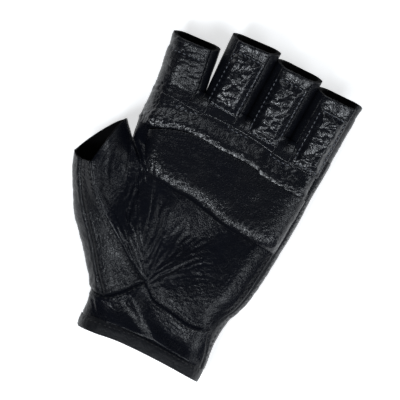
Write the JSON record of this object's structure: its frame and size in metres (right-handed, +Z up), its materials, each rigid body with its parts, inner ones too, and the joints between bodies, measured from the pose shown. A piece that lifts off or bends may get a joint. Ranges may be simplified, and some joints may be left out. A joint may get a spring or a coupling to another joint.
{
  "type": "fingerless glove",
  "caption": "Left-hand half-finger leather glove with a padded palm band, padded finger stalls and a gathered wrist.",
  "frame": {"origin": "under the middle of the glove's outline, on the surface that its back rests on", "axes": "+Y from the cuff to the fingertips, +X across the palm to the little finger, +Z up out of the palm"},
  "size_m": [0.1274, 0.1784, 0.0405],
  "materials": {
    "leather": "satin black grain leather",
    "foam": "matt black foam padding",
    "elastic": "matt black woven elastic"
  },
  "bodies": {
    "hand": {"cuff_hem_palm": "leather", "cuff_hem_back": "leather", "cuff_palm": "leather", "wrist_side_panel": "leather", "palm_panel": "leather", "palm_band_cover": "leather", "palm_band_foam": "foam", "finger_root_cover": "leather", "finger_root_foam": "foam", "index_middle_gusset": "leather", "middle_ring_gusset": "leather", "ring_little_gusset": "leather", "back_panel": "leather", "wrist_elastic_back": "elastic", "wrist_elastic_palm": "elastic"},
    "index": {"index_palm": "leather", "index_back": "leather", "index_outer_fourchette": "leather"},
    "middle": {"middle_palm": "leather", "middle_back": "leather", "middle_pad": "foam", "middle_thumbside_fourchette": "leather", "middle_outer_fourchette": "leather"},
    "ring": {"ring_palm": "leather", "ring_back": "leather", "ring_pad": "foam", "ring_thumbside_fourchette": "leather", "ring_outer_fourchette": "leather"},
    "little": {"little_palm": "leather", "little_back": "leather", "little_pad": "foam", "little_thumbside_fourchette": "leather"},
    "thumb": {"thumb_palm": "leather", "thumb_side_panel": "leather", "thumb_back": "leather"}
  },
  "joints": [
    {"name": "index_curl", "type": "hinge", "parent": "hand", "child": "index", "pos_m": [-0.02953, 0.05302, 0.0232], "axis": [1, 0, 0], "range_deg": [-8, 60], "stiffness_Nm_per_rad": 0.05},
    {"name": "middle_curl", "type": "hinge", "parent": "hand", "child": "middle", "pos_m": [-0.00293, 0.05302, 0.0232], "axis": [1, 0, 0], "range_deg": [-8, 60], "stiffness_Nm_per_rad": 0.05},
    {"name": "ring_curl", "type": "hinge", "parent": "hand", "child": "ring", "pos_m": [0.02307, 0.05302, 0.0232], "axis": [1, 0, 0], "range_deg": [-8, 60], "stiffness_Nm_per_rad": 0.05},
    {"name": "little_curl", "type": "hinge", "parent": "hand", "child": "little", "pos_m": [0.04907, 0.05302, 0.0232], "axis": [1, 0, 0], "range_deg": [-8, 60], "stiffness_Nm_per_rad": 0.05},
    {"name": "thumb_fold", "type": "hinge", "parent": "hand", "child": "thumb", "pos_m": [-0.02845, -0.02811, 0.026], "axis": [-0.2351, 0.972, 0], "range_deg": [-8, 30], "stiffness_Nm_per_rad": 0.08}
  ]
}
